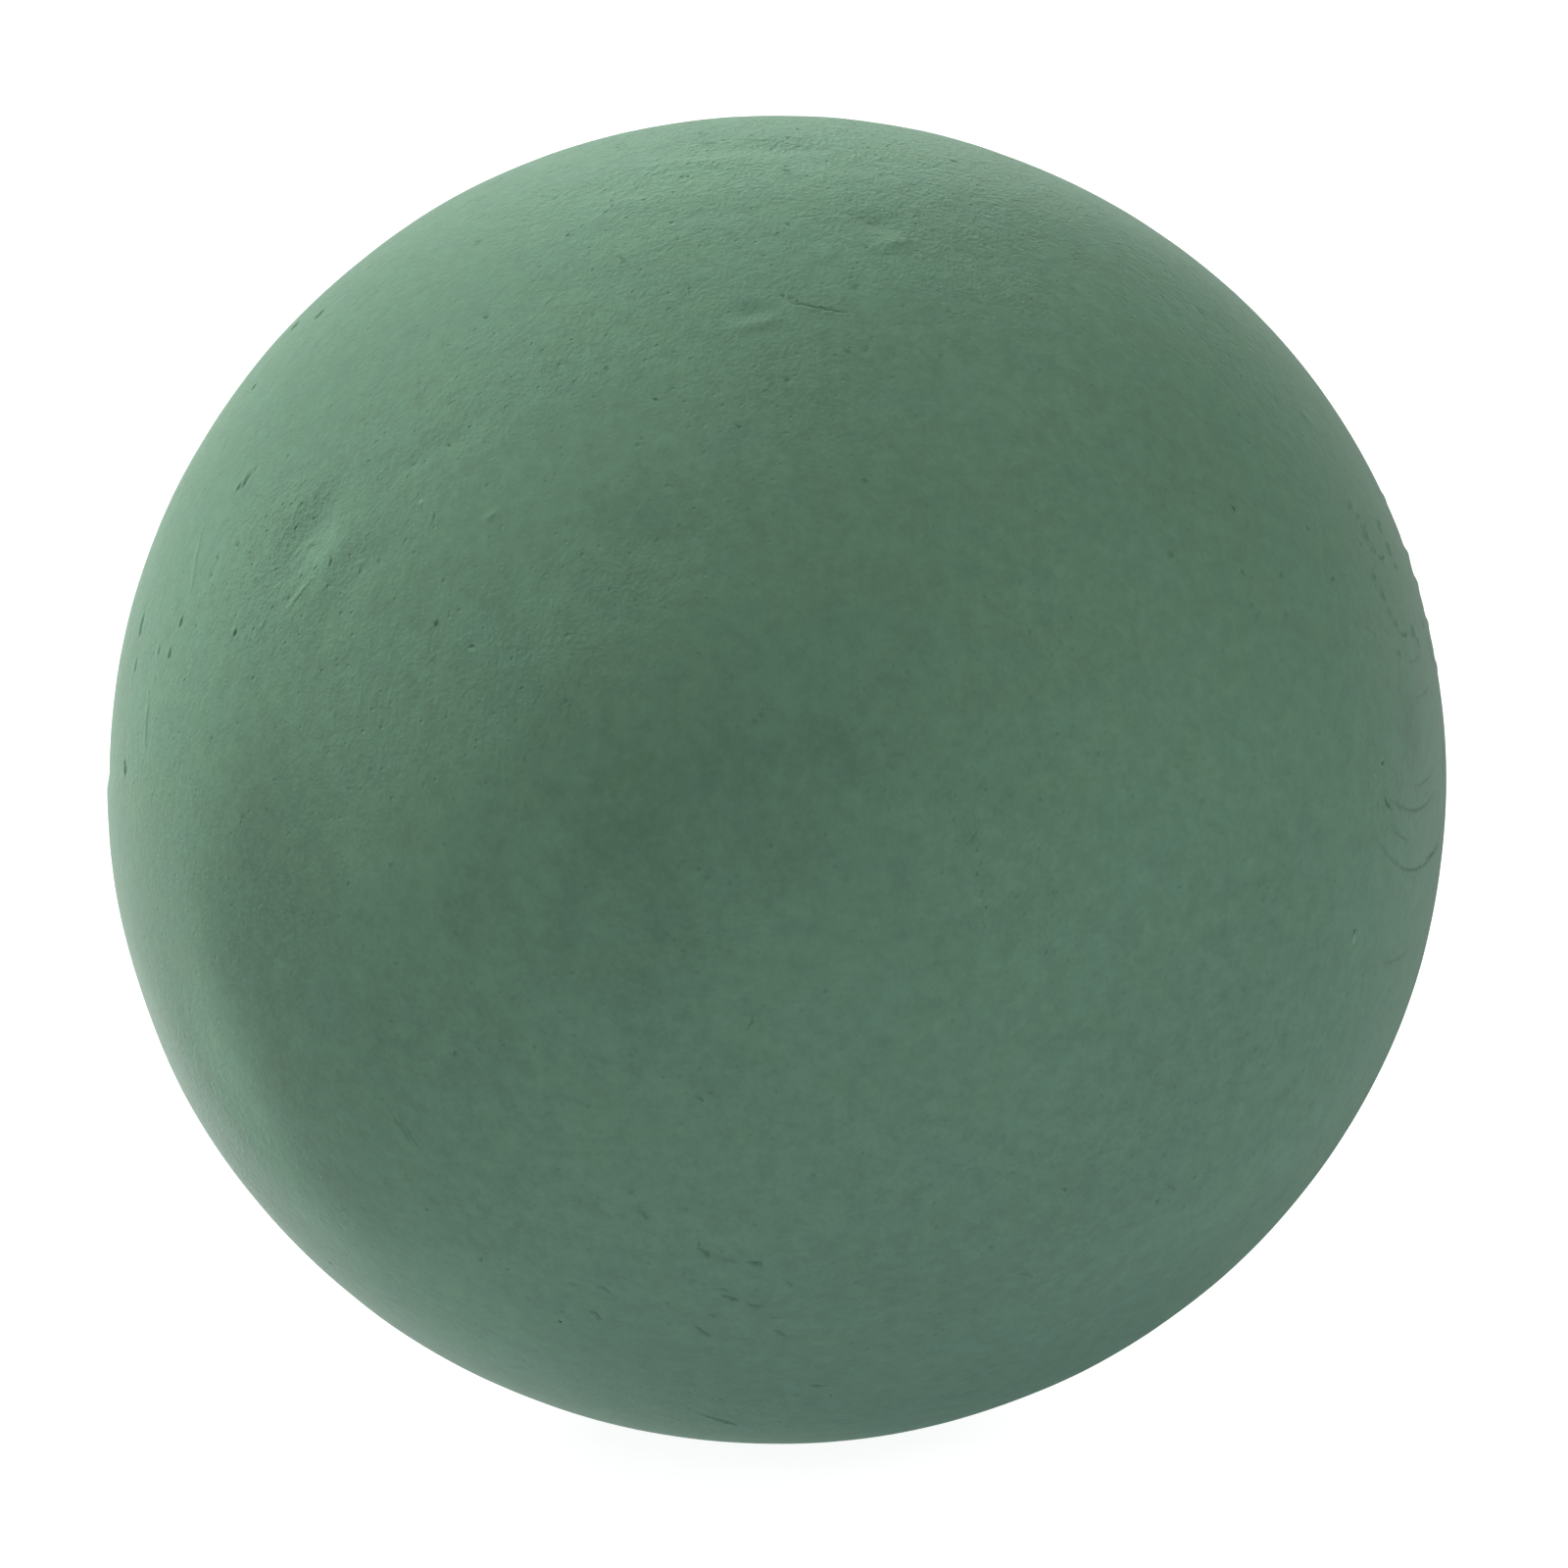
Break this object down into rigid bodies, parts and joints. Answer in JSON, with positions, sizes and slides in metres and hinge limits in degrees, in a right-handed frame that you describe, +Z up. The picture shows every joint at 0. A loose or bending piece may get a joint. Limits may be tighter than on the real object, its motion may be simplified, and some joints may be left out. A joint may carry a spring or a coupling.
{
  "type": "floral foam ball",
  "caption": "Solid ball of matte green floral foam that takes in water and holds cut stems pushed into it.",
  "frame": {"origin": "centre of the ball, which is also the centre of its box", "axes": "+Z up, as the ball sits; +X along the axis it was turned about, which is its slightly longer axis; +Y is the remaining axis, pointing away from the side seen first"},
  "size_m": [0.121, 0.12, 0.12],
  "materials": {
    "floral_foam": "matte"
  },
  "bodies": {
    "root": {"foam_ball": "floral_foam"}
  },
  "joints": []
}
